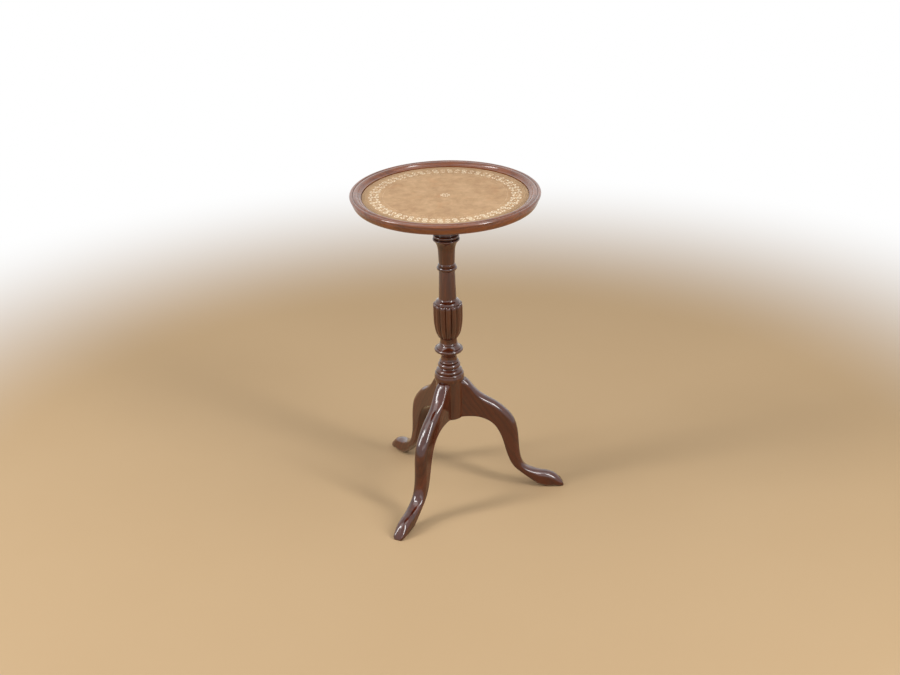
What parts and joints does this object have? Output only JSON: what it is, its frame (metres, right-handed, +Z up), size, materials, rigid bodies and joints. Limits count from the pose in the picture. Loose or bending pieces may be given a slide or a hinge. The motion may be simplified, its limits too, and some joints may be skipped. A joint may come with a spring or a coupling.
{
  "type": "wine table",
  "caption": "Small round mahogany wine table with a dished leather-lined top on a turned column with a reeded vase and splayed cabriole legs.",
  "frame": {"origin": "on the floor, under the column's axis", "axes": "+Z up along the column; the right leg points along +X; the picture looks roughly along +Y"},
  "size_m": [0.3439, 0.3368, 0.54],
  "materials": {
    "mahogany_rim": "French-polished, glossy",
    "mahogany_panel": "stained and lightly polished",
    "mahogany_boss": "stained and lightly polished",
    "mahogany_column": "French-polished, glossy",
    "mahogany_wedge": "sawn, unpolished",
    "mahogany_leg": "French-polished, glossy",
    "leather": "tan hide, waxed, with a gilt tooled border",
    "steel": "plain countersunk wood screws"
  },
  "bodies": {
    "root": {"top_rim": "mahogany_rim", "top_panel": "mahogany_panel", "leather_inset": "leather", "top_boss": "mahogany_boss", "boss_screws": "steel", "column": "mahogany_column", "spigot_wedge": "mahogany_wedge", "leg_right": "mahogany_leg", "leg_left": "mahogany_leg", "leg_front": "mahogany_leg"}
  },
  "joints": []
}
